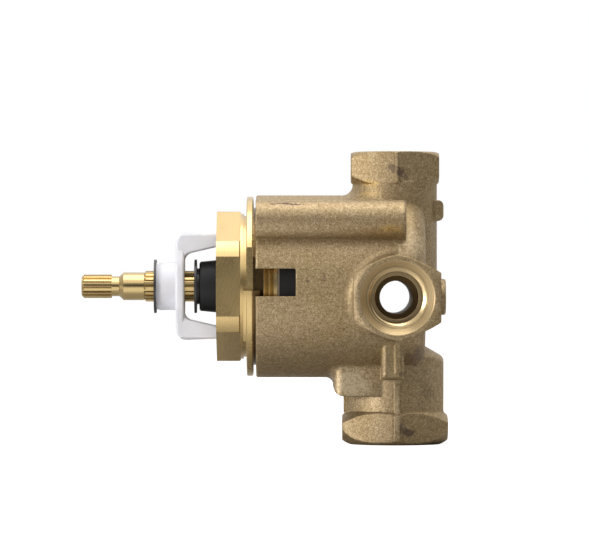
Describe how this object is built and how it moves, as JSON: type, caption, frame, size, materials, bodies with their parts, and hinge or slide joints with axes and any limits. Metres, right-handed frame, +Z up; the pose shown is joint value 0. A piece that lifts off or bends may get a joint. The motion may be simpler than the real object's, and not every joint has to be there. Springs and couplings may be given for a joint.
{
  "type": "shower transfer valve",
  "caption": "Concealed shower transfer valve: cast brass body with four pipe ports, hex bonnet, ceramic disc cartridge and splined stem with a stop yoke.",
  "frame": {"origin": "centre of the bottom port's mouth, on the axis shared by the bottom and top ports", "axes": "+Z up along the pipe axis to the top port, -X along the stem towards the user, Y along the side ports; the valve is symmetric about the XZ plane but for the window and the notch"},
  "size_m": [0.1378, 0.096, 0.11],
  "materials": {
    "cast_brass": "blasted casting, matt with fine grain",
    "machined_brass": "turned and milled, satin",
    "stem_brass": "turned, bright",
    "black_plastic": "moulded, satin",
    "grey_plastic": "moulded, matt",
    "white_plastic": "moulded acetal, satin",
    "black_steel": "blackened spring steel",
    "steel": "ground",
    "ceramic": "lapped ceramic",
    "rubber": "matt"
  },
  "bodies": {
    "body": {"valve_body": "cast_brass", "retaining_ring": "machined_brass", "bonnet_nut": "machined_brass", "stem_bushing": "black_plastic", "slip_washer": "grey_plastic", "cartridge_housing": "black_plastic", "housing_o_ring": "rubber", "locating_pin": "steel", "fixed_ceramic_disc": "ceramic", "disc_seal": "rubber", "cartridge_base": "black_plastic", "base_seal_centre": "rubber", "base_seal_top": "rubber", "base_seal_bottom": "rubber"},
    "spindle": {"stem": "stem_brass", "outer_clip": "black_steel", "inner_clip": "black_steel", "thrust_collar": "black_steel", "limit_yoke": "white_plastic", "stem_o_ring_front": "rubber", "stem_o_ring_rear": "rubber", "drive_carrier": "white_plastic", "moving_ceramic_disc": "ceramic"}
  },
  "joints": [
    {"name": "stem_turn", "type": "hinge", "parent": "body", "child": "spindle", "pos_m": [-0.0734, 0, 0.0594], "axis": [-1, 0, 0], "range_deg": [-90, 90]}
  ]
}
